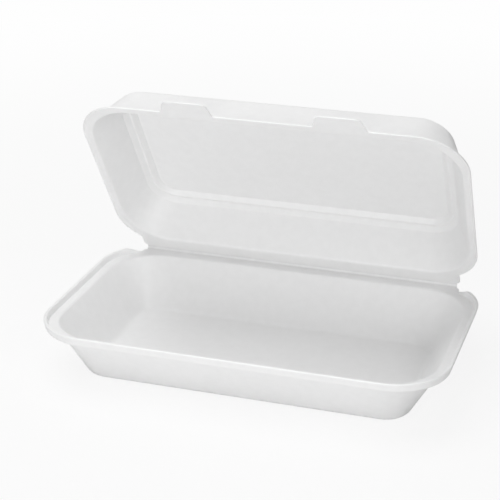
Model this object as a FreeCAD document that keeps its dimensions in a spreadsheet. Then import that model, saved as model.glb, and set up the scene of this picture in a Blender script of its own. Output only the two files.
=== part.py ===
"""A hinged foam take-away box: a drafted tray, a drafted lid and the thin hinge between them.

Millimetres, +Z up.  The origin is the centre of the tray's flat bottom.  X runs along the box,
the mouth faces -Y and the hinge lies along the back, at +Y.  The lid is drawn shut and then
turned open about the hinge line.  Every level outline is the tray's outermost outline drawn
in by an inset.  The rims' corners are parts of cones round four upright axes, and the walls'
corners, which are wider, are parts of cones round four others.
"""
import FreeCAD, Part
import Sketcher
import os
from math import pi

SIZES = (
    ("overall_length", 250.0, "tray, outside the lip"),
    ("overall_depth", 150.0, "tray, front to back, outside the lip"),
    ("foam", 2.3, "thickness of the foam sheet"),
    ("seat_level", 34.0, "top face of the tray's flange"),
    ("lip_rise", 3.6, "lip above that face"),
    ("lip_thickness", 2.2, "lip, across"),
    ("lip_flare", 1.4, "how far the lip leans out over its whole height"),
    ("lip_corner", 35.0, "corner radius outside the lip; the corners of both rims run parallel to it"),
    ("wall_corner", 39.4, "corner radius of a wall plus its inset, the same at every level"),
    ("tray_flange", 5.0, "flat of the tray's rim, inside the lip"),
    ("tray_draft", 30.5, "tray wall, degrees off the vertical"),
    ("tray_bottom_round", 7.0, "bend between bottom and wall, outside"),
    ("lid_clearance", 1.9, "play between the lid's edge and the lip's foot"),
    ("lid_flange", 5.0, "flat of the lid's rim"),
    ("lid_rise", 31.0, "lid, rim to top"),
    ("lid_draft", 25.0, "lid wall, degrees off the vertical"),
    ("shoulder_drop", 5.5, "height of the sloping band round the lid's top"),
    ("shoulder_slope", 50.0, "that band, degrees off the vertical"),
    ("lid_round", 4.5, "bends along the band, outside"),
    ("mouth_round", 2.2, "bends between a wall and its flange"),
    ("tab_length", 10.0, "closing tab, beyond the lid's edge"),
    ("tab_root", 33.0, "closing tab, across its root"),
    ("tab_tip", 27.0, "closing tab, across its tip, before its corners are rounded"),
    ("tab_corner", 3.0, "radius at the tab's tip"),
    ("tab_pitch", 93.0, "from the middle of one tab to the middle of the other"),
    ("slit_length", 37.0, "slit that takes a tab"),
    ("slit_width", 2.2, "that slit, across"),
    ("slit_margin", 1.0, "foam left between the slit and the lip"),
    ("hinge_length", 215.0, "hinge, along the box"),
    ("hinge_reach", 1.5, "hinge line, behind the tray's outermost outline"),
    ("hinge_setback", 2.0, "hinge line to the edge of each flange"),
    ("hinge_film", 0.5, "foam pressed thin in the hinge"),
    ("hinge_corner", 2.0, "clipped off both ends of the strip that each flange sends to the hinge"),
    ("strip_root", 2.0, "how far that strip's ends reach into the rim's rounded corners"),
    ("hinge_bevel", 1.4, "bevel of each flange beside the hinge"),
    ("lip_run_out", 9.0, "length over which the lip dies away at the hinge"),
    ("face_gap", 0.6, "air between the two flanges when shut"),
    ("open_angle", 57.0, "lid, degrees open from shut"),
)

# Levels, from the tray's bottom.
SEAT = "Sizes.seat_level"
TRAY_UNDERSIDE = "(Sizes.seat_level - Sizes.foam)"
LIP_TOP = "(Sizes.seat_level + Sizes.lip_rise)"
LID_FACE = "(Sizes.seat_level + Sizes.face_gap)"
LID_CROWN = "(" + LID_FACE + " + Sizes.foam)"
HINGE_LEVEL = "(Sizes.seat_level + Sizes.face_gap / 2)"

# Distances behind the middle of the box.
HALF_DEPTH = "(Sizes.overall_depth / 2)"
HINGE_LINE = "(" + HALF_DEPTH + " + Sizes.hinge_reach)"
FLANGE_EDGE = "(" + HINGE_LINE + " - Sizes.hinge_setback)"

# Insets of the tray's outlines, from its outermost one.
LIP_FOOT = "(Sizes.lip_thickness + Sizes.lip_flare * Sizes.lip_rise / (Sizes.lip_rise + Sizes.foam))"
TRAY_MOUTH = "(" + LIP_FOOT + " + Sizes.tray_flange)"
TRAY_WALL_TOP = "(" + TRAY_MOUTH + " - Sizes.foam / cos(Sizes.tray_draft))"
TRAY_BOTTOM = "(" + TRAY_WALL_TOP + " + Sizes.seat_level * tan(Sizes.tray_draft))"
TRAY_FLOOR = "(" + TRAY_MOUTH + " + " + TRAY_UNDERSIDE + " * tan(Sizes.tray_draft))"

# Insets of the lid's outlines.  The foam is as thick across the sloping band as across the
# wall, so the bend inside the lid lies a little lower than the bend outside.
LID_EDGE = "(" + LIP_FOOT + " + Sizes.lid_clearance)"
LID_MOUTH = "(" + LID_EDGE + " + Sizes.lid_flange)"
LID_WALL_FOOT = "(" + LID_MOUTH + " - Sizes.foam / cos(Sizes.lid_draft))"
WALL_RISE = "(Sizes.lid_rise - Sizes.shoulder_drop)"
SHOULDER = "(" + LID_WALL_FOOT + " + " + WALL_RISE + " * tan(Sizes.lid_draft))"
LID_TOP = "(" + SHOULDER + " + Sizes.shoulder_drop * tan(Sizes.shoulder_slope))"
BEND_DROP = ("(Sizes.foam * (1 / cos(Sizes.shoulder_slope) - 1 / cos(Sizes.lid_draft))"
             " / (tan(Sizes.shoulder_slope) - tan(Sizes.lid_draft)))")
INNER_RISE = "(" + WALL_RISE + " - " + BEND_DROP + ")"
INNER_SHOULDER = "(" + LID_MOUTH + " + " + INNER_RISE + " * tan(Sizes.lid_draft))"
INNER_TOP = ("(" + INNER_SHOULDER + " + (Sizes.shoulder_drop + " + BEND_DROP + " - Sizes.foam)"
             " * tan(Sizes.shoulder_slope))")

WALL_CORNER = "Sizes.wall_corner"
TOLERANCE = 0.01

doc = FreeCAD.newDocument("FoamBox")


def make_sheet():
    """The driving dimensions, one to a row: value and meaning, with the name as alias."""
    cells = doc.addObject("Spreadsheet::Sheet", "Sizes")
    for row, (name, number, meaning) in enumerate(SIZES, start=1):
        cells.set("A%d" % row, str(number))
        cells.setAlias("A%d" % row, name)
        cells.set("B%d" % row, meaning)
    doc.recompute()
    return cells


sheet = make_sheet()


def value(expression):
    """The number that an expression on the sheet gives."""
    return float(sheet.evalExpression(expression))


def new_body(label):
    body = doc.addObject("PartDesign::Body", label)
    body.Label = label
    return body


def new_sketch(body, name, role, offset):
    """A sketch on one of the body's own planes, moved along its normal by an expression."""
    sketch = body.newObject("Sketcher::SketchObject", name)
    plane = next(item for item in body.Origin.OriginFeatures if item.Role == role)
    sketch.AttachmentSupport = [(plane, "")]
    sketch.MapMode = "FlatFace"
    sketch.setExpression("AttachmentOffset.Base.z", offset)
    return sketch


def bind(sketch, name, expression, kind, *places):
    """A dimension of a sketch, tied to the sheet."""
    index = sketch.addConstraint(Sketcher.Constraint(kind, *places, value(expression)))
    sketch.renameConstraint(index, name)
    sketch.setExpression("Constraints." + name, expression)


def outline(body, name, level, inset, family="Sizes.lip_corner"):
    """A rounded rectangle at a level, drawn in from the tray's outermost outline."""
    sketch = new_sketch(body, name, "XY_Plane", level)
    length = "Sizes.overall_length - 2 * " + inset
    depth = "Sizes.overall_depth - 2 * " + inset
    corner = family + " - " + inset
    x, y, r = value(length) / 2, value(depth) / 2, value(corner)
    ends = (((r - x, -y), (x - r, -y)), ((x, r - y), (x, y - r)),
            ((x - r, y), (r - x, y)), ((-x, y - r), (-x, r - y)))
    centres = ((x - r, r - y), (x - r, y - r), (r - x, y - r), (r - x, r - y))
    up = FreeCAD.Vector(0, 0, 1)
    lines, arcs = [], []
    for start, end in ends:
        line = Part.LineSegment(FreeCAD.Vector(*start, 0), FreeCAD.Vector(*end, 0))
        lines.append(sketch.addGeometry(line, False))
    for quarter, centre in enumerate(centres, start=-1):
        circle = Part.Circle(FreeCAD.Vector(*centre, 0), up, r)
        start = quarter * pi / 2
        arcs.append(sketch.addGeometry(Part.ArcOfCircle(circle, start, start + pi / 2), False))
    for side in range(4):
        sketch.addConstraint(Sketcher.Constraint("Tangent", lines[side], 2, arcs[side], 1))
        sketch.addConstraint(Sketcher.Constraint("Tangent", arcs[side], 2, lines[(side + 1) % 4], 1))
    sketch.addConstraint(Sketcher.Constraint("Horizontal", lines[2]))
    sketch.addConstraint(Sketcher.Constraint("Vertical", lines[3]))
    for arc in arcs[1:]:
        sketch.addConstraint(Sketcher.Constraint("Equal", arcs[0], arc))
    sketch.addConstraint(Sketcher.Constraint("Symmetric", lines[0], 1, lines[0], 2, -2))
    sketch.addConstraint(Sketcher.Constraint("Symmetric", lines[1], 1, lines[1], 2, -1))
    bind(sketch, "along", length, "DistanceX", lines[3], 1, lines[1], 1)
    bind(sketch, "across", depth, "DistanceY", lines[0], 1, lines[2], 1)
    bind(sketch, "corner", corner, "Radius", arcs[0])
    return sketch


def add_polygon(sketch, name, corners):
    """A straight-sided loop; each corner is two expressions on the sheet."""
    points = [FreeCAD.Vector(value(x), value(y), 0) for x, y in corners]
    lines = []
    for start, end in zip(points, points[1:] + points[:1]):
        lines.append(sketch.addGeometry(Part.LineSegment(start, end), False))
    for before, after in zip(lines[-1:] + lines, lines):
        sketch.addConstraint(Sketcher.Constraint("Coincident", before, 2, after, 1))
    for number, (line, (x, y)) in enumerate(zip(lines, corners)):
        bind(sketch, "%s_x%d" % (name, number), x, "DistanceX", -1, 1, line, 1)
        bind(sketch, "%s_y%d" % (name, number), y, "DistanceY", -1, 1, line, 1)


def loft(body, kind, name, outlines):
    """Straight walls from outline to outline, added to the body or taken from it."""
    feature = body.newObject("PartDesign::" + kind, name)
    feature.Profile = (outlines[0], [""])
    feature.Sections = [(sketch, [""]) for sketch in outlines[1:]]
    feature.Ruled = True
    doc.recompute()


def pad(body, name, sketch, thickness):
    feature = body.newObject("PartDesign::Pad", name)
    feature.Profile = (sketch, [""])
    feature.setExpression("Length", thickness)
    doc.recompute()


def pocket(body, name, sketch, depth, against_normal):
    """Cut a sketch's outline into the body, and make sure that it met foam."""
    doc.recompute()
    before = body.Tip.Shape.Volume
    feature = body.newObject("PartDesign::Pocket", name)
    feature.Profile = (sketch, [""])
    feature.setExpression("Length", depth)
    feature.Reversed = not against_normal
    doc.recompute()
    if feature.Shape.Volume > before - TOLERANCE:
        raise RuntimeError("%s cuts nothing" % name)


def edges_where(body, test):
    shape = body.Tip.Shape
    return ["Edge%d" % (number + 1) for number, edge in enumerate(shape.Edges) if test(edge)]


def at_level(edge, level):
    return all(abs(vertex.Z - level) < TOLERANCE for vertex in edge.Vertexes)


def loop(body, level, inset):
    """The edges of the outline with that level and inset."""
    z = value(level)
    x = value("Sizes.overall_length / 2 - " + inset)
    y = value("Sizes.overall_depth / 2 - " + inset)

    def on_outline(edge):
        box = edge.BoundBox
        along, across = max(box.XMax, -box.XMin), max(box.YMax, -box.YMin)
        inside = along < x + TOLERANCE and across < y + TOLERANCE
        return at_level(edge, z) and inside and (along > x - TOLERANCE or across > y - TOLERANCE)

    return edges_where(body, on_outline)


def dress(body, kind, name, edges, amount):
    """A round (Fillet) or a bevel (Chamfer) along edges of the body's last feature."""
    base = body.Tip
    feature = body.newObject("PartDesign::" + kind, name)
    feature.Base = (base, edges)
    feature.setExpression({"Fillet": "Radius", "Chamfer": "Size"}[kind], amount)
    doc.recompute()


def add_hinge_strip(body, level, bevel_level):
    """Carry the rim's back edge to the hinge: clip its ends and bevel its outer side."""
    sketch = new_sketch(body, "HingeStripOutline", "XY_Plane", level)
    front = "(" + HALF_DEPTH + " - " + LID_EDGE + " - Sizes.lid_flange / 2)"
    half = "(Sizes.hinge_length / 2)"
    clipped = "(Sizes.hinge_length / 2 - Sizes.hinge_corner)"
    before = "(" + FLANGE_EDGE + " - Sizes.hinge_corner)"
    # Where the lid's rounded rim corner crosses the end of the strip.
    past_axis = "(" + half + " - Sizes.overall_length / 2 + Sizes.lip_corner)"
    radius = "(Sizes.lip_corner - " + LID_EDGE + ")"
    crossing = ("(" + HALF_DEPTH + " - Sizes.lip_corner + sqrt(max(0; "
                + radius + " ^ 2 - " + past_axis + " ^ 2)))")
    root = "(" + crossing + " - Sizes.strip_root)"
    straight = "(" + half + " - " + past_axis + " / 2)"
    add_polygon(sketch, "strip", (
        ("-" + half, root), ("-" + straight, front), (straight, front), (half, root),
        (half, before), (clipped, FLANGE_EDGE), ("-" + clipped, FLANGE_EDGE), ("-" + half, before)))
    pad(body, "HingeStrip", sketch, "Sizes.foam")
    y, z = value(FLANGE_EDGE), value(bevel_level)
    back = edges_where(body, lambda edge: edge.BoundBox.YMin > y - TOLERANCE and at_level(edge, z))
    dress(body, "Chamfer", "HingeBevel", back, "Sizes.hinge_bevel")


def make_tray():
    """The tray: walls, flange and upstanding lip, thinned to a shell and slit for the tabs."""
    body = new_body("base_tray")

    # The walls, and the brim that leans out to the lip, as solid blocks.
    loft(body, "AdditiveLoft", "Walls", (
        outline(body, "BottomOutline", "0", TRAY_BOTTOM, WALL_CORNER),
        outline(body, "WallTopOutline", SEAT, TRAY_WALL_TOP, WALL_CORNER)))
    loft(body, "AdditiveLoft", "Brim", (
        outline(body, "BrimOutline", TRAY_UNDERSIDE, "Sizes.lip_flare"),
        outline(body, "LipOutline", LIP_TOP, "0")))

    # The recess that the lid's rim drops into, and the hollow below it.
    loft(body, "SubtractiveLoft", "Recess", (
        outline(body, "RecessOutline", SEAT, LIP_FOOT),
        outline(body, "RecessTopOutline", LIP_TOP, "Sizes.lip_thickness")))
    loft(body, "SubtractiveLoft", "Hollow", (
        outline(body, "FloorOutline", "Sizes.foam", TRAY_FLOOR, WALL_CORNER),
        outline(body, "MouthOutline", SEAT, TRAY_MOUTH, WALL_CORNER)))

    # A sheet of even thickness bends to two radii, one foam thickness apart.
    dress(body, "Fillet", "BottomBend", loop(body, "0", TRAY_BOTTOM), "Sizes.tray_bottom_round")
    dress(body, "Fillet", "FloorBend", loop(body, "Sizes.foam", TRAY_FLOOR),
          "(Sizes.tray_bottom_round - Sizes.foam)")
    dress(body, "Fillet", "MouthBend", loop(body, SEAT, TRAY_MOUTH), "Sizes.mouth_round")
    dress(body, "Fillet", "BrimBend", loop(body, TRAY_UNDERSIDE, "Sizes.lip_flare"),
          "Sizes.mouth_round")

    # At the back the lip dies away on both sides of the hinge.
    gap = new_sketch(body, "LipGapOutline", "XZ_Plane", "-" + HALF_DEPTH)
    low, high = "(Sizes.hinge_length / 2)", "(Sizes.hinge_length / 2 + Sizes.lip_run_out)"
    add_polygon(gap, "gap", (("-" + low, SEAT), (low, SEAT), (high, LIP_TOP), ("-" + high, LIP_TOP)))
    pocket(body, "LipGap", gap, "Sizes.lip_corner", against_normal=False)
    add_hinge_strip(body, TRAY_UNDERSIDE, TRAY_UNDERSIDE)

    # Two slits through the front flange, close to the lip, take the lid's tabs.
    slits = new_sketch(body, "SlitOutlines", "XY_Plane", SEAT)
    outer = "-(" + HALF_DEPTH + " - " + LIP_FOOT + " - Sizes.slit_margin)"
    inner = "-(" + HALF_DEPTH + " - " + LIP_FOOT + " - Sizes.slit_margin - Sizes.slit_width)"
    for name, side in (("left", "-"), ("right", "")):
        near = side + "((Sizes.tab_pitch - Sizes.slit_length) / 2)"
        far = side + "((Sizes.tab_pitch + Sizes.slit_length) / 2)"
        add_polygon(slits, name, ((near, outer), (far, outer), (far, inner), (near, inner)))
    pocket(body, "Slits", slits, "(2 * Sizes.foam)", against_normal=True)
    return body


def make_lid():
    """The lid: wall, sloping band and top, thinned to a shell, with two tabs on its rim."""
    body = new_body("lid")
    shoulder_level = "(" + LID_FACE + " + " + WALL_RISE + ")"
    top_level = "(" + LID_FACE + " + Sizes.lid_rise)"
    inner_level = "(" + LID_FACE + " + " + INNER_RISE + ")"
    ceiling_level = "(" + top_level + " - Sizes.foam)"

    loft(body, "AdditiveLoft", "Dome", (
        outline(body, "WallFootOutline", LID_FACE, LID_WALL_FOOT, WALL_CORNER),
        outline(body, "ShoulderOutline", shoulder_level, SHOULDER, WALL_CORNER),
        outline(body, "TopOutline", top_level, LID_TOP, WALL_CORNER)))
    pad(body, "Flange", outline(body, "RimOutline", LID_FACE, LID_EDGE), "Sizes.foam")
    loft(body, "SubtractiveLoft", "Hollow", (
        outline(body, "MouthOutline", LID_FACE, LID_MOUTH, WALL_CORNER),
        outline(body, "InnerShoulderOutline", inner_level, INNER_SHOULDER, WALL_CORNER),
        outline(body, "CeilingOutline", ceiling_level, INNER_TOP, WALL_CORNER)))

    dress(body, "Fillet", "TopBend", loop(body, top_level, LID_TOP), "Sizes.lid_round")
    dress(body, "Fillet", "ShoulderBend", loop(body, shoulder_level, SHOULDER), "Sizes.lid_round")
    dress(body, "Fillet", "CeilingBend", loop(body, ceiling_level, INNER_TOP),
          "(Sizes.lid_round - Sizes.foam)")
    dress(body, "Fillet", "InnerShoulderBend", loop(body, inner_level, INNER_SHOULDER),
          "(Sizes.lid_round - Sizes.foam)")
    dress(body, "Fillet", "MouthBend", loop(body, LID_FACE, LID_MOUTH), "Sizes.mouth_round")

    # The tabs stand out from the front rim, in its own plane.
    tabs = new_sketch(body, "TabOutlines", "XY_Plane", LID_FACE)
    root = "-(" + HALF_DEPTH + " - " + LID_EDGE + ")"
    tip = "-(" + HALF_DEPTH + " - " + LID_EDGE + " + Sizes.tab_length)"
    for name, side in (("left", "-"), ("right", "")):
        corners = []
        for width, y, sign in (("tab_root", root, "-"), ("tab_tip", tip, "-"),
                               ("tab_tip", tip, "+"), ("tab_root", root, "+")):
            x = side + "((Sizes.tab_pitch " + sign + " Sizes." + width + ") / 2)"
            corners.append((x, y))
        add_polygon(tabs, name, corners)
    pad(body, "Tabs", tabs, "Sizes.foam")
    tip_y = value(tip)
    tips = edges_where(body, lambda edge: edge.BoundBox.YMax < tip_y + TOLERANCE
                       and edge.BoundBox.ZLength > TOLERANCE)
    dress(body, "Fillet", "TabCorners", tips, "Sizes.tab_corner")

    add_hinge_strip(body, LID_FACE, LID_CROWN)
    body.setExpression("Placement", "placement(vector(0; 0; 0); rotation(vector(-1; 0; 0);"
                       " Sizes.open_angle); vector(0; " + HINGE_LINE + "; " + HINGE_LEVEL + "))")
    return body


def make_hinge():
    """The film between the flanges, bent to one arc that leaves each flange square to its edge."""
    body = new_body("living_hinge")
    half = "(Sizes.hinge_length / 2 - Sizes.hinge_corner)"
    mid_drop = "((Sizes.face_gap + Sizes.hinge_film) / 2)"
    bend_radius = "(" + mid_drop + " + Sizes.hinge_setback * tan(Sizes.open_angle / 2))"
    centre_level = "(" + HINGE_LEVEL + " - " + mid_drop + " + " + bend_radius + ")"
    sketch = new_sketch(body, "FilmSection", "XZ_Plane", "-" + FLANGE_EDGE)
    sketch.setExpression("AttachmentOffset.Base.y", centre_level)
    outer = "-(" + bend_radius + " + Sizes.hinge_film / 2)"
    inner = "-(" + bend_radius + " - Sizes.hinge_film / 2)"
    add_polygon(sketch, "film", (("-" + half, outer), (half, outer),
                                 (half, inner), ("-" + half, inner)))
    turn = body.newObject("PartDesign::Revolution", "Bend")
    turn.Profile = (sketch, [""])
    turn.ReferenceAxis = (sketch, ["H_Axis"])
    turn.setExpression("Angle", "180 - Sizes.open_angle")
    doc.recompute()
    return body


bodies = [make_tray(), make_lid(), make_hinge()]
doc.recompute()

for item in doc.Objects:
    if "Invalid" in item.State or "Error" in item.State:
        raise RuntimeError("%s did not build: %s" % (item.Name, item.State))

os.makedirs("parts", exist_ok=True)
for body in bodies:
    shape = body.Shape
    if shape.isNull() or not shape.isValid():
        raise RuntimeError("%s has no sound shape" % body.Label)
    shape.exportStep("parts/%s.step" % body.Label)
    print("%s: %d solid, %.0f mm3, x %.1f to %.1f, y %.1f to %.1f, z %.1f to %.1f" % (
        body.Label, len(shape.Solids), shape.Volume, shape.BoundBox.XMin, shape.BoundBox.XMax,
        shape.BoundBox.YMin, shape.BoundBox.YMax, shape.BoundBox.ZMin, shape.BoundBox.ZMax))
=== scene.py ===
# %% [markdown]
# # A hinged foam take-away box
# The real box is pressed in one go from a warm sheet of polystyrene foam: a tray, a lid, and
# between them a line where the foam is pressed so thin that it folds. This lesson dresses the
# measured model of it. The model comes in first, as a fixed frame, and each of its three parts
# then gets a softer skin of its own, with rounded lips and the fine grain of foam. The frame is
# in metres and the numbers below are in millimetres, as the maker of such a box would use.

# %% The measured model
from math import cos, pi, radians, sin

import bpy
import numpy as np
from mathutils import Matrix, Vector


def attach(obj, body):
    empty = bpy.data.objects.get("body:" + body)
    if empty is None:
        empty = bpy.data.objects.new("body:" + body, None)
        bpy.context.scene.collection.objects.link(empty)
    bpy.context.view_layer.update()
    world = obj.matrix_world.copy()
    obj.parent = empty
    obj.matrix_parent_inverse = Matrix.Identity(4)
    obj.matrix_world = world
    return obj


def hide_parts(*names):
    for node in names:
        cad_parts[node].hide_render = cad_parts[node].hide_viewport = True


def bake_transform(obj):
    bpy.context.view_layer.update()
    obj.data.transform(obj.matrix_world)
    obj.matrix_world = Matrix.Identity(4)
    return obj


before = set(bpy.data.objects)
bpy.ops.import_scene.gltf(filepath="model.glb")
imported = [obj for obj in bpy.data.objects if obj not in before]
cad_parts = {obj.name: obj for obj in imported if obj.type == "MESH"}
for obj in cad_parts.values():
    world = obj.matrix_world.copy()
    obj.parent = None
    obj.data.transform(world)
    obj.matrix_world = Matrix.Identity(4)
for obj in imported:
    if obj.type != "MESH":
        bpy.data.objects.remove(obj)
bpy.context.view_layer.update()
MM = 0.001

# %% [markdown]
# ## A chain of lines with rounded corners
# Foam that is pressed in a tool has no sharp corner anywhere. A cut through the tray's wall is a
# chain of straight lines with an arc at each corner, and so is the edge of a closing tab. Both
# could be drawn as curve objects with bevelled points. Here one function turns corner points
# and radii into points on exact arcs, because the same arrays then feed the surfaces below.

# %% Rounded corners
def unit(vectors):
    return vectors / np.linalg.norm(vectors, axis=-1, keepdims=True)


def bend(corners, radii, steps=7):
    """Rounds a chain's inner corners. An arc is a weighted average of its two ends and its corner:
    the ends weigh (1 - s) squared and s squared, and the corner 2 s (1 - s) times the cosine of
    half the turn. The ends lie the radius times the tangent of half the turn from the corner."""
    corners = np.asarray(corners, float)
    middle = corners[1:-1]
    back, ahead = unit(corners[:-2] - middle), unit(corners[2:] - middle)
    half_turn = np.arccos(np.clip(-(back * ahead).sum(-1), -1, 1)) / 2
    reach = (np.asarray(radii) * np.tan(half_turn))[:, None]
    first, last = middle + back * reach, middle + ahead * reach
    s = np.linspace(0, 1, steps)
    weights = np.stack([np.broadcast_to((1 - s) ** 2, (len(middle), steps)),
                        2 * s * (1 - s) * np.cos(half_turn)[:, None],
                        np.broadcast_to(s ** 2, (len(middle), steps))])
    ends = np.stack([first, middle, last])
    arcs = np.einsum("kcs,kcd->csd", weights, ends) / weights.sum(0)[..., None]
    return np.concatenate([corners[:1], arcs.reshape(-1, 2), corners[-1:]])


def spread(start, end, count):
    """Evenly spaced points on a straight line, both of its ends among them."""
    share = np.linspace(0, 1, count)[:, None]
    return np.asarray(start, float) * (1 - share) + np.asarray(end, float) * share


print("a quarter round in 7 points:", bend([(0, 0), (1, 0), (1, 1)], [0.5]).round(2).tolist())

# %% [markdown]
# ## The walk round the box
# Every level of the tray and of the lid is a rounded rectangle, whose corners turn about four
# upright axes. So a point of it is a place on the rectangle of the axes, plus a radius times the
# direction that faces out. The walk is made once: the columns of the surfaces stand on it. The
# walls' corners are wider than the rims', so for them the rectangle of the axes shrinks a little.
# Columns are close together where the tabs, the slits and the ends of the hinge need a clean edge.

# %% Columns
HALF_LENGTH, HALF_DEPTH, LIP_CORNER, WALL_CORNER = 125.0, 75.0, 35.0, 39.4
AXIS_X, AXIS_Y = HALF_LENGTH - LIP_CORNER, HALF_DEPTH - LIP_CORNER
HINGE_LINE, HINGE_LEVEL, HINGE_EDGE = 76.5, 34.3, 74.5
STRIP_HALF, STRIP_CLIP, RAMP = 107.5, 2.0, 9.0
STRIP_REACHES = 36.0, 35.0, 34.15, 33.0, 32.0, 31.0, 30.046
TAB_PITCH, TAB_ROOT, TAB_TIP, TAB_LENGTH = 93.0, 33.0, 27.0, 10.0
TAB_CORNER, TAB_ROOT_BEND, CLEAR_OF_TAB = 3.0, 0.8, 0.7
SLIT_LENGTH, SLIT_NEAR, SLIT_FAR = 37.0, 4.054, 6.254

tab = bend([(-TAB_ROOT, 0), (-TAB_ROOT / 2, 0), (-TAB_TIP / 2, TAB_LENGTH),
            (TAB_TIP / 2, TAB_LENGTH), (TAB_ROOT / 2, 0), (TAB_ROOT, 0)],
           [TAB_ROOT_BEND, TAB_CORNER, TAB_CORNER, TAB_ROOT_BEND], steps=9)[1:-1]
flank = spread(tab[8], tab[9], 6)[1:-1]
tab = np.concatenate([tab[:9], flank, tab[9:27], (flank * (-1, 1))[::-1], tab[27:]])
tab_columns = np.sort(np.concatenate([tab[:, 0] - TAB_PITCH / 2, tab[:, 0] + TAB_PITCH / 2]))
slit_ends = np.array([-TAB_PITCH - SLIT_LENGTH, -TAB_PITCH + SLIT_LENGTH,
                      TAB_PITCH - SLIT_LENGTH, TAB_PITCH + SLIT_LENGTH]) / 2


def walk(front):
    """Anticlockwise from above, from the front's left end: straight sides where the place runs
    along the rectangle of axes and the direction stays, and corners where it is the other way
    round. Columns also stand where the strip's end is as far from the corner's axis as each of
    STRIP_REACHES says. Returns places and directions."""
    side = np.linspace(-AXIS_Y, AXIS_Y, 25)
    rear = np.linspace(AXIS_X, -AXIS_X, 61)
    end, back = STRIP_HALF - AXIS_X, HINGE_EDGE - AXIS_Y
    clip_turns = np.arctan2([back, back - STRIP_CLIP], [end - STRIP_CLIP, end])
    side_turns = np.arccos(end / np.array(STRIP_REACHES))
    strip_turns = np.degrees(np.concatenate([clip_turns, side_turns]))
    turns = np.sort(np.concatenate([np.linspace(0, 90, 37)[1:-1], strip_turns]))
    corner = np.ones_like(turns)
    x = np.concatenate([front, AXIS_X * corner, AXIS_X + 0 * side, AXIS_X * corner,
                        rear, -AXIS_X * corner, -AXIS_X + 0 * side, -AXIS_X * corner])
    y = np.concatenate([-AXIS_Y + 0 * front, -AXIS_Y * corner, side, AXIS_Y * corner,
                        AXIS_Y + 0 * rear, AXIS_Y * corner, -side, -AXIS_Y * corner])
    angle = np.radians(np.concatenate([-90 + 0 * front, turns - 90, 0 * side, turns,
                                       90 + 0 * rear, turns + 90, 180 + 0 * side, turns + 180]))
    return np.stack([x, y], -1), np.stack([np.cos(angle), np.sin(angle)], -1)


def strip_edge(outward, inset):
    """How far in from the outermost outline the rim ends where it runs on to the hinge. The strip
    is a plain rectangle with clipped corners; its edge is a distance from the corner's axis, and
    the rim's own edge shows wherever that lies further out. Only the back half has a strip."""
    across, along = np.abs(outward[:, 0]) + 1e-9, outward[:, 1] + 1e-9
    back_edge = (HINGE_EDGE - AXIS_Y) / along
    clip = (STRIP_HALF - AXIS_X + HINGE_EDGE - AXIS_Y - STRIP_CLIP) / (across + along)
    side_edge = (STRIP_HALF - AXIS_X) / across
    reach = np.minimum(np.minimum(back_edge, clip), side_edge)
    return np.where(outward[:, 1] > 0.5, np.minimum(inset, LIP_CORNER - reach), inset)


tray_walk = walk(np.unique(np.concatenate([np.linspace(-AXIS_X, AXIS_X, 73), slit_ends])))
lid_front = np.linspace(-AXIS_X, AXIS_X, 61)
clear = np.abs(lid_front[:, None] - tab_columns[None]).min(1) > CLEAR_OF_TAB
lid_walk = walk(np.sort(np.concatenate([lid_front[clear], tab_columns])))
print("columns: tray", len(tray_walk[0]), "lid", len(lid_walk[0]))

# %% [markdown]
# ## From rows and columns to a mesh
# A row is one closed ring of the surface and a column is one cut through the foam. Each piece
# starts in the middle of its inner face, goes out over the rim and ends in the middle of its
# outer face, so the two small fans at the middles close it and it has no open edge. The faces
# could be joined by hand with bmesh; index arithmetic on whole arrays does it in a few lines.

# %% Meshes
def ring_faces(rows, columns):
    """Corner numbers of every four-sided face between neighbouring rows, as rows x columns x 4,
    wound so that a floor reached from its middle outwards faces up."""
    row, column = np.meshgrid(np.arange(rows - 1), np.arange(columns), indexing="ij")
    ahead = (column + 1) % columns
    return np.stack([row * columns + column, (row + 1) * columns + column,
                     (row + 1) * columns + ahead, row * columns + ahead], -1)


def middle_fan(ring_start, columns, middle, flip):
    """Triangles between a ring and the point in its middle."""
    here = ring_start + np.arange(columns)
    ahead = ring_start + (np.arange(columns) + 1) % columns
    fan = np.stack([np.full(columns, middle), here, ahead], -1)
    return fan[:, ::-1] if flip else fan


def make_piece(name, points, faces):
    """A mesh object at the origin from points in millimetres and lists of face arrays."""
    mesh = bpy.data.meshes.new(name)
    every = [face for block in faces for face in block.tolist()]
    mesh.from_pydata((points * MM).tolist(), [], every)
    mesh.polygons.foreach_set("use_smooth", np.ones(len(mesh.polygons), bool))
    mesh.set_sharp_from_angle(angle=radians(38))
    mesh.validate()
    piece = bpy.data.objects.new(name, mesh)
    bpy.context.scene.collection.objects.link(piece)
    print(name, "has", len(mesh.vertices), "points and", len(mesh.polygons), "faces")
    return piece


def place_rows(path, inset, level, is_wall):
    """The surface itself. A row's inset and level at a column give the point: the place on the
    walk plus what is left of the corner radius times the direction out, and the level as height.
    For a wall's row the rectangle of axes is drawn in by as much as its corner radius is wider."""
    places, outward = path
    wider = (WALL_CORNER - LIP_CORNER) * np.asarray(is_wall, float)[:, None]
    axes = 1 - wider[..., None] / (AXIS_X, AXIS_Y)
    reach = LIP_CORNER + wider - inset
    flat = places[None] * axes + reach[..., None] * outward[None]
    return np.concatenate([flat, level[..., None]], -1)


def with_middles(rows, shares=(0.35, 0.7, 0.9)):
    """Adds rings that shrink towards the middle, before the first row and after the last one:
    along and across are multiplied by a share, and the level stays."""
    scale = np.stack([shares, shares, np.ones(len(shares))], -1)[:, None]
    return np.concatenate([rows[:1] * scale, rows, rows[-1:] * scale[::-1]])


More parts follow.
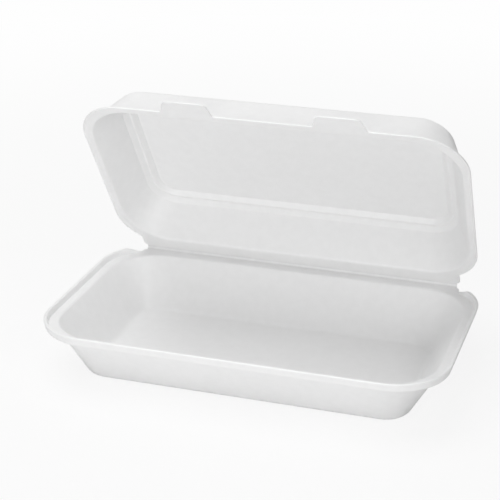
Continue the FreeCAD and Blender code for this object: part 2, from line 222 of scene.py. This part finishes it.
def close_middles(points, faces):
    """The points as one list with the two middles at its end, and the fans that join them."""
    rows, columns = points.shape[:2]
    ends = np.stack([points[0].mean(0), points[-1].mean(0)])
    ends[:, :2] = 0
    flat = np.concatenate([points.reshape(-1, 3), ends])
    fans = [middle_fan(0, columns, rows * columns, False),
            middle_fan((rows - 1) * columns, columns, rows * columns + 1, True)]
    return flat, faces + fans


print("helpers for meshes are ready")

# %% [markdown]
# ## The tray
# The tray's foam is 2.3 mm thick all the way: a flat floor, walls that lean out so that boxes
# stack, a flat rim, and a lip that stands up round it and holds the shut lid. At the back the
# lip dies away and the rim runs straight on to the hinge. So there are two cuts through the
# foam, one with the lip and one with the strip, with the same number of points. Each column
# takes a mixture of the two: all lip, all strip, or something between where the lip runs out.
# A cut is a chain of insets, counted inwards from the box's outermost outline, and levels. It
# stops at the inset CUT_END, from where plain rings shrink to the middle.

# %% The tray's two cuts
FOAM, SEAT, LIP_TOP, CUT_END = 2.3, 34.0, 37.6, 34.0
BRIM_UNDERSIDE = SEAT - FOAM
LIP_FOOT, LIP_INNER, LIP_OUTER, LIP_HEEL, MOUTH = 3.054, 2.2, 0.0, 1.4, 8.054
WALL_ROOT, TRAY_BOTTOM, TRAY_FLOOR = 6.74, 25.41, 26.73
STEPS = 7

inner_wall = bend([(CUT_END, FOAM), (TRAY_FLOOR, FOAM), (MOUTH, SEAT), (SLIT_FAR, SEAT)],
                  [4.7, 2.2], STEPS)
outer_wall = bend([(SLIT_FAR, BRIM_UNDERSIDE), (WALL_ROOT, BRIM_UNDERSIDE), (TRAY_BOTTOM, 0),
                   (CUT_END, 0)], [0.5, 7.0], STEPS)
FACE_TOP, FACE_LOW = (0.22, 36.6), (0.85, 34.2)
lip = np.concatenate([
    bend([(SLIT_NEAR, SEAT), (LIP_FOOT, SEAT), (LIP_INNER, LIP_TOP), (LIP_OUTER, LIP_TOP),
          FACE_TOP], [0.6, 0.9, 0.8], STEPS)[:-1],
    spread(FACE_TOP, FACE_LOW, STEPS),
    bend([FACE_LOW, (LIP_HEEL, BRIM_UNDERSIDE), (SLIT_NEAR, BRIM_UNDERSIDE)], [1.8], STEPS)[1:]])
STRIP_EDGE, BEVEL_LEVEL, BEVEL_END = 0.5, 33.1, 1.9
strip = np.concatenate([
    spread((SLIT_NEAR, SEAT), (1.2, SEAT), 2 * STEPS + 1),
    bend([(1.2, SEAT), (STRIP_EDGE, SEAT), (STRIP_EDGE, BEVEL_LEVEL),
          (BEVEL_END, BRIM_UNDERSIDE), (SLIT_NEAR, BRIM_UNDERSIDE)], [0.3, 0.3, 0.5], STEPS)[1:]])
print("points in a cut: lip", len(lip), "strip", len(strip))

# %% [markdown]
# The cut with the lip and the cut with the strip are mixed per column. The share of lip grows
# from nothing to one over the 9 mm where the real lip runs out. The strip's edge also moves in
# and out so that it ends in a clipped corner, as the strip of the real hinge does.

# %% The tray's surface
tray_places, tray_outward = tray_walk
RIM_RADIUS, BACK_EDGE_MARGIN = 34.0, 0.05
rim_x = np.abs(tray_places[:, 0]) + RIM_RADIUS * np.abs(tray_outward[:, 0])
share = np.clip((rim_x - STRIP_HALF) / RAMP, 0, 1)
lip_share = np.where(tray_places[:, 1] + tray_outward[:, 1] > AXIS_Y + BACK_EDGE_MARGIN,
                     share * share * (3 - 2 * share), 1.0)
edge_shift = strip_edge(tray_outward, FACE_LOW[0]) - STRIP_EDGE
nearness = np.clip((LIP_FOOT - strip[:, 0]) / (LIP_FOOT - BEVEL_END), 0, 1)
strip_inset = strip[:, :1] + edge_shift * nearness[:, None]
rim_inset = lip_share * lip[:, :1] + (1 - lip_share) * strip_inset
rim_level = lip_share * lip[:, 1:] + (1 - lip_share) * strip[:, 1:]
count = len(tray_places)
inset = np.concatenate([np.repeat(inner_wall[:, :1], count, 1), rim_inset,
                        np.repeat(outer_wall[:, :1], count, 1)])
level = np.concatenate([np.repeat(inner_wall[:, 1:], count, 1), rim_level,
                        np.repeat(outer_wall[:, 1:], count, 1)])
is_wall = [1] * (len(inner_wall) - 1) + [0] * (len(lip) + 2) + [1] * (len(outer_wall) - 1)
tray_points = with_middles(place_rows(tray_walk, inset, level, is_wall))
print("tray surface:", tray_points.shape)

# %% [markdown]
# Two slits go through the front rim, close to the lip, for the lid's tabs. A boolean cut would
# do it, but it leaves long thin faces. The rows and columns already lie along the slits' sides,
# so the faces there are left out on both sides of the foam and short walls join the two holes.

# %% The slits
MIDDLE_RINGS = 3
faces = ring_faces(len(tray_points), count)
top_far = MIDDLE_RINGS + len(inner_wall) - 1
top_near, under_near = top_far + 1, top_far + len(lip)
under_far = under_near + 1
ends = [int(np.flatnonzero((tray_places[:, 0] == x) & (tray_outward[:, 1] == -1))[0])
        for x in slit_ends]
kept = np.ones(faces.shape[:2], bool)
walls = []
for start, stop in (ends[:2], ends[2:]):
    kept[top_far, start:stop] = kept[under_near, start:stop] = False
    run = np.arange(start, stop)
    walls.append(np.stack([top_far * count + run, under_far * count + run,
                           under_far * count + run + 1, top_far * count + run + 1], -1))
    walls.append(np.stack([top_near * count + run, top_near * count + run + 1,
                           under_near * count + run + 1, under_near * count + run], -1))
    across = np.array([[top_far, top_near, under_near, under_far]]) * count
    walls += [across + start, across[:, ::-1] + stop]
tray = make_piece("tray", *close_middles(tray_points, [faces[kept]] + walls))

# %% [markdown]
# ## The lid
# The lid is the same idea turned over: a flat rim, walls that lean in, a sloping band and a flat
# top. Inside, the band is pressed as two fine steps with a ledge a millimetre wide between them,
# which catch the light as two streaks. The lid is drawn shut, where its levels are plain heights,
# and then turned open about the hinge line. Its rim is pressed thinner towards its edge, and the
# edge is turned down half a millimetre. The rim grows outwards into two tabs at the front and
# into the strip of the hinge at the back, so its edge is the only part of the cut that changes
# from column to column.

# %% The lid's cut
LID_FACE, LID_EDGE, LID_MOUTH = 34.6, 4.954, 9.954
LID_CROWN = LID_FACE + FOAM
CEILING, INNER_SHOULDER = (28.2, 63.3), (20.77, 57.8)
LEDGE_INNER, LEDGE_OUTER = (25.3, 60.5), (24.0, 60.4)
CROWN_FOOT, SHOULDER, LID_TOP = (8.489, LID_CROWN), (19.307, 60.1), (25.862, 65.6)
FIXED = 7.3
inside_lid = bend([(CUT_END, CEILING[1]), CEILING, LEDGE_INNER, LEDGE_OUTER, INNER_SHOULDER,
                   (LID_MOUTH, LID_FACE), (FIXED, LID_FACE)], [0.8, 0.6, 0.6, 1.0, 2.2], STEPS)
outside_lid = bend([(FIXED, LID_CROWN), CROWN_FOOT, SHOULDER, LID_TOP, (CUT_END, LID_TOP[1])],
                   [1.2, 4.5, 4.5], STEPS)
EDGE_FACE, EDGE_CROWN, EDGE_ROUND = LID_FACE - 0.5, LID_FACE + 1.0, 0.7
EDGE_MIDDLE, HAIR = (EDGE_FACE + EDGE_CROWN) / 2, 0.03
RIM_START, FACE_BEND, CROWN_END = 7.25, 6.7, 6.4
FLANK_LEAN = 0.8
rim = np.concatenate([
    bend([(RIM_START, LID_FACE), (FACE_BEND, LID_FACE), (LID_EDGE, EDGE_FACE),
          (LID_EDGE, EDGE_MIDDLE)], [1.5, EDGE_ROUND - 0.1], STEPS)[1:-1],
    spread((LID_EDGE, EDGE_MIDDLE - HAIR), (LID_EDGE, EDGE_MIDDLE + HAIR), 3),
    bend([(LID_EDGE, EDGE_MIDDLE), (LID_EDGE, EDGE_CROWN), (CROWN_END, EDGE_CROWN + 0.5)],
         [EDGE_ROUND], STEPS)[1:]])
BEVEL_FOOT, BEVEL_REACH, STRIP_ROUND = 35.5, 1.4, 0.3
lid_strip = np.concatenate([
    spread((6.9, LID_FACE), (5.6, LID_FACE), STEPS),
    bend([(5.5, LID_FACE), (LID_EDGE, LID_FACE), (LID_EDGE, BEVEL_FOOT)], [STRIP_ROUND],
         STEPS)[1:-1],
    spread((LID_EDGE, BEVEL_FOOT - 0.4), (LID_EDGE, BEVEL_FOOT), 3),
    bend([(LID_EDGE, BEVEL_FOOT), (LID_EDGE + BEVEL_REACH, LID_CROWN), (LID_EDGE + 2.2, LID_CROWN)],
         [STRIP_ROUND], STEPS)[1:]])
print("points in the rim's cut:", len(rim), len(lid_strip))

# %% [markdown]
# The tabs' outline is a height over the rim's edge, read at each column. On the real box the
# tabs are cut with the rim and lie flat in its plane. The pressed edge draws back towards the
# outside, so a row that lies higher on the edge reads the outline further from the tab's middle.

# %% The lid's surface
lid_places, lid_outward = lid_walk
at_front = lid_outward[:, 1] < -0.9999
from_tab = np.abs(np.abs(lid_places[:, 0]) - TAB_PITCH / 2)
order = np.argsort(tab[:, 0])
right_half = tab[order][len(tab) // 2:]
climb = rim[:, 1:] - np.minimum.accumulate(rim[:, 1:])
growth = at_front * np.interp(from_tab + FLANK_LEAN * climb, right_half[:, 0], right_half[:, 1])
shift = strip_edge(lid_outward, LID_EDGE) - growth - LID_EDGE
STRIP_BLEND = 3.0
strip_share = (lid_outward[:, 1] > 0.5) * np.clip(-shift / STRIP_BLEND, 0, 1)
rim_inset = strip_share * lid_strip[:, :1] + (1 - strip_share) * rim[:, :1] + shift
rim_level = strip_share * lid_strip[:, 1:] + (1 - strip_share) * rim[:, 1:]
count = len(lid_places)
inset = np.concatenate([np.repeat(inside_lid[:, :1], count, 1), rim_inset,
                        np.repeat(outside_lid[:, :1], count, 1)])
level = np.concatenate([np.repeat(inside_lid[:, 1:], count, 1), rim_level,
                        np.repeat(outside_lid[:, 1:], count, 1)])
is_wall = [1] * (len(inside_lid) - 1) + [0] * (len(rim) + 2) + [1] * (len(outside_lid) - 1)
shut_lid = with_middles(place_rows(lid_walk, inset, level, is_wall))

OPEN_ANGLE = radians(57)


def turn_open(points, angle):
    """A turn about the hinge line: the distance in front of the line and the height over it
    trade places as the angle grows."""
    front, height = HINGE_LINE - points[..., 1], points[..., 2] - HINGE_LEVEL
    return np.stack([points[..., 0], HINGE_LINE - front * cos(angle) + height * sin(angle),
                     HINGE_LEVEL + front * sin(angle) + height * cos(angle)], -1)


lid_faces = ring_faces(len(shut_lid), count)[:, :, ::-1].reshape(-1, 4)
flat, fans = close_middles(shut_lid, [])
lid = make_piece("lid_shell", turn_open(flat, OPEN_ANGLE), [lid_faces] + [f[:, ::-1] for f in fans])

# %% [markdown]
# ## The hinge
# Between the two rims the foam is pressed to a film half a millimetre thick. It leaves each rim
# square to its edge and bends on one arc. It is the one soft part: when the lid moves, one end
# has to follow the tray and the other end the lid, and the frame's blend does that by itself.

# %% The film
FILM, FILM_HALF, FILM_STEPS = 0.5, STRIP_HALF - STRIP_CLIP, 24
drop = (LID_FACE - SEAT + FILM) / 2
film_radius = drop + (HINGE_LINE - HINGE_EDGE) * np.tan(OPEN_ANGLE / 2)
film_centre = np.array([HINGE_EDGE, HINGE_LEVEL - drop + film_radius])
film_turn = np.linspace(0, pi - OPEN_ANGLE, FILM_STEPS)
film_arc = np.stack([np.sin(film_turn), -np.cos(film_turn)], -1)


def film_row(radius):
    """One side of the film: the centre of its bend plus a radius times the direction out."""
    return film_centre + film_arc * radius


film_loop = np.concatenate([film_row(film_radius + FILM / 2),
                            film_row(film_radius - FILM / 2)[::-1]])
film_x = np.linspace(-FILM_HALF, FILM_HALF, 67)
along = np.broadcast_to(film_x[:, None, None], (len(film_x), len(film_loop), 1))
across_film = np.broadcast_to(film_loop, (len(film_x),) + film_loop.shape)
film_points = np.concatenate([along, across_film], -1)
film_faces = ring_faces(len(film_x), len(film_loop)).reshape(-1, 4)
pair = np.arange(FILM_STEPS - 1)
film_end = np.stack([pair, pair + 1, 2 * FILM_STEPS - 2 - pair, 2 * FILM_STEPS - 1 - pair], -1)
far_end = film_end + (len(film_x) - 1) * len(film_loop)
hinge = make_piece("hinge_film", film_points.reshape(-1, 3),
                   [film_faces, film_end[:, ::-1], far_end])

# %% [markdown]
# ## What moves with what
# Each new piece stands for one part of the measured model, which is then hidden. The tray rides
# on the base and the lid shell on the lid. The film turns smoothly from one to the other.

# %% Riding and replacing
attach(tray, "base")
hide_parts("base_tray")
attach(lid, "lid")
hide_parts("lid")
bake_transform(hinge)
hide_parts("living_hinge")

# %% [markdown]
# ## Foam skin
# The box is polystyrene foam with the smooth skin that the heated tool leaves on it. To the eye
# it is white, soft and a little satin. Close to, it shows the flattened cells under the skin,
# fine as grains of salt, and a faint waviness where the sheet stretched. Light gets a few
# millimetres into it. The pattern is worked out from the piece's own place in space, with no
# picture, so it has no seam anywhere.

# %% Colours and nodes
def linear(code):
    """An sRGB colour written in hex, as the linear numbers that a shader takes."""
    parts = np.array([int(code[i:i + 2], 16) for i in (1, 3, 5)]) / 255
    low, high = parts / 12.92, ((parts + 0.055) / 1.055) ** 2.4
    return (*np.where(parts <= 0.04045, low, high).tolist(), 1.0)


def add(tree, kind, inputs=(), **settings):
    """Adds a node. Settings are its own fields; inputs are pairs of a socket and either a plain
    value or another node's output."""
    node = tree.nodes.new("ShaderNode" + kind)
    for name, value in settings.items():
        setattr(node, name, value)
    for socket, value in dict(inputs).items():
        if isinstance(value, bpy.types.NodeSocket):
            tree.links.new(value, node.inputs[socket])
        else:
            node.inputs[socket].default_value = value
    return node


def per_metre(size_in_mm):
    """A pattern's scale, for a feature of that size."""
    return 1 / (size_in_mm * MM)


def new_material(name):
    material = bpy.data.materials.new(name)
    material.use_nodes = True
    material.node_tree.nodes.clear()
    return material, material.node_tree


print("foam white is", [round(part, 3) for part in linear("#F3F3F3")])

# %% [markdown]
# Polystyrene has an IOR of 1.59. A foamed skin scatters most light under its surface, so it is
# rough for a plastic, and only a broad sheen is left of its gloss. Real cells are 0.1 to 0.3 mm
# across; a picture of the whole box can't show that, so they are drawn at about 1 mm.

# %% Foam materials
CELL, MOTTLE, WAVE = 1.1, 5.0, 16.0


def foam(name, light, shade, roughness, cell_depth):
    """A foam skin: flattened cells and slow waves as bump, and mottling in colour and gloss."""
    material, tree = new_material(name)
    place = add(tree, "TexCoord").outputs["Object"]
    cells = add(tree, "TexVoronoi", {"Vector": place, "Scale": per_metre(CELL), "Smoothness": 0.6},
                feature="SMOOTH_F1")
    mottle = add(tree, "TexNoise", {"Vector": place, "Scale": per_metre(MOTTLE), "Detail": 4.0})
    wave = add(tree, "TexNoise", {"Vector": place, "Scale": per_metre(WAVE), "Detail": 1.0})
    colour = add(tree, "MapRange", {"Value": mottle.outputs[0], "From Min": 0.35, "From Max": 0.65})
    tint = add(tree, "Mix", {"Factor": colour.outputs["Result"]}, data_type="RGBA")
    tint.inputs[6].default_value, tint.inputs[7].default_value = linear(shade), linear(light)
    gloss = add(tree, "MapRange", {"Value": mottle.outputs[0], "From Min": 0.3, "From Max": 0.7,
                                   "To Min": roughness - 0.06, "To Max": roughness + 0.06})
    slow = add(tree, "Bump", {"Height": wave.outputs[0], "Strength": 1.0, "Distance": 0.0002})
    fine = add(tree, "Bump", {"Height": cells.outputs["Distance"], "Strength": 1.0,
                              "Distance": cell_depth * MM, "Normal": slow.outputs[0]})
    skin = add(tree, "BsdfPrincipled", {
        "Base Color": tint.outputs[2], "Roughness": gloss.outputs["Result"], "IOR": 1.59,
        "Specular IOR Level": 0.5, "Subsurface Weight": 0.2, "Subsurface Scale": 0.002,
        "Subsurface Radius": (1.0, 1.0, 1.0), "Normal": fine.outputs[0]})
    add(tree, "OutputMaterial", {"Surface": skin.outputs[0]})
    return material


polystyrene_foam = foam("moulded_polystyrene_foam", "#F3F3F3", "#F1F1F1", 0.36, 0.04)
pressed_film = foam("pressed_polystyrene_film", "#EEEEEE", "#EAEAEA", 0.42, 0.02)
for piece, finish in ((tray, polystyrene_foam), (lid, polystyrene_foam), (hinge, pressed_film)):
    piece.data.materials.append(finish)
print("materials:", [material.name for material in bpy.data.materials])

# %% [markdown]
# ## Floor, light and camera
# The box stands on a plain white floor in soft studio light. The floor keeps the box's shadow:
# near the box a seventh of what the camera sees of it is lit as paper is, and the rest shines as
# plain white. Further away the shine takes over, as on an overexposed studio backdrop.

# %% Floor
FLOOR_HALF = 6000.0
corners = np.array([(-1, -1, 0), (1, -1, 0), (1, 1, 0), (-1, 1, 0)]) * FLOOR_HALF
floor = make_piece("floor", corners - (0, 0, 0.02), [np.arange(4)[None]])
paper, tree = new_material("white_backdrop_paper")
lit = add(tree, "BsdfDiffuse", {"Color": linear("#F8F8F8")})
shine = add(tree, "Emission", {"Color": (1, 1, 1, 1), "Strength": 0.99})
away = add(tree, "VectorMath", {0: add(tree, "TexCoord").outputs["Object"]}, operation="LENGTH")
share = add(tree, "MapRange", {"Value": away.outputs["Value"], "From Min": 0.15, "From Max": 0.9,
                               "To Min": 0.86, "To Max": 1.0}, interpolation_type="SMOOTHSTEP")
to_camera = add(tree, "MixShader", {0: share.outputs["Result"], 1: lit.outputs[0],
                                    2: shine.outputs[0]})
path = add(tree, "LightPath")
seen = add(tree, "MixShader", {0: path.outputs["Is Camera Ray"], 1: lit.outputs[0],
                               2: to_camera.outputs[0]})
add(tree, "OutputMaterial", {"Surface": seen.outputs[0]})
floor.data.materials.append(paper)

# %% Light
world = bpy.data.worlds.new("studio")
bpy.context.scene.world = world
world.use_nodes = True
tree = world.node_tree
tree.nodes.clear()
path = add(tree, "LightPath")
mirrored = add(tree, "Math", {0: path.outputs["Is Glossy Ray"],
                              1: path.outputs["Is Transmission Ray"]}, operation="MAXIMUM")
shown = add(tree, "Math", {0: path.outputs["Is Camera Ray"], 1: mirrored.outputs[0]},
            operation="MAXIMUM")
soft = add(tree, "Background", {"Color": (1, 1, 1, 1), "Strength": 0.22})
white = add(tree, "Background", {"Color": (1, 1, 1, 1), "Strength": 0.99})
mixed = add(tree, "MixShader", {0: shown.outputs[0], 1: soft.outputs[0], 2: white.outputs[0]})
add(tree, "OutputWorld", {"Surface": mixed.outputs[0]})

BOX_MIDDLE = (0, 0, 0.05)


def softbox(name, place, width, height, power):
    """A soft lamp that faces the box; its place, width and height are in metres."""
    data = bpy.data.lights.new(name, "AREA")
    data.shape = "RECTANGLE"
    data.size, data.size_y, data.energy = width, height, power
    lamp = bpy.data.objects.new(name, data)
    bpy.context.scene.collection.objects.link(lamp)
    lamp.location = place
    lamp.rotation_euler = (Vector(BOX_MIDDLE) - lamp.location).to_track_quat("-Z", "Y").to_euler()
    return lamp


softbox("top_softbox", (-0.25, -0.06, 0.95), 0.8, 0.8, 5.2)
softbox("front_softbox", (-0.1, -1.5, 0.25), 1.1, 0.45, 7.6)
softbox("right_softbox", (1.2, -1.0, 1.0), 1.0, 1.0, 6.0)

# %% [markdown]
# The camera stands in front, a little to the right and above, with a long lens. Its numbers come
# from fitting the measured model's outlines to the picture of the box. The picture is 500 by
# 500 pixels, so the lens is the fitted focal length in pixels, over 500, times the sensor.

# %% Camera
AZIMUTH, ELEVATION, ROLL = radians(18.022), radians(22.585), radians(-0.053)
DISTANCE, FOCAL, FRAME_SIDE = 758.13, 1481.74, 500.0
AIM = np.array([30.362, -119.137, 126.919])
away = np.array([sin(AZIMUTH) * cos(ELEVATION), -cos(AZIMUTH) * cos(ELEVATION), sin(ELEVATION)])
right = unit(np.cross(-away, (0, 0, 1)))
up = np.cross(right, -away)
right, up = right * cos(ROLL) + up * sin(ROLL), up * cos(ROLL) - right * sin(ROLL)
lens = bpy.data.cameras.new("camera")
lens.sensor_width = 36.0
lens.lens = FOCAL / FRAME_SIDE * lens.sensor_width
lens.clip_start, lens.clip_end = 0.01, 50.0
camera = bpy.data.objects.new("camera", lens)
bpy.context.scene.collection.objects.link(camera)
turn = Matrix(np.stack([right, up, away], -1).tolist()).to_4x4()
turn.translation = Vector(((AIM + away * DISTANCE) * MM).tolist())
camera.matrix_world = turn
bpy.context.scene.camera = camera
bpy.context.scene.view_settings.view_transform = "Standard"
print("camera at", [round(part, 3) for part in camera.location])
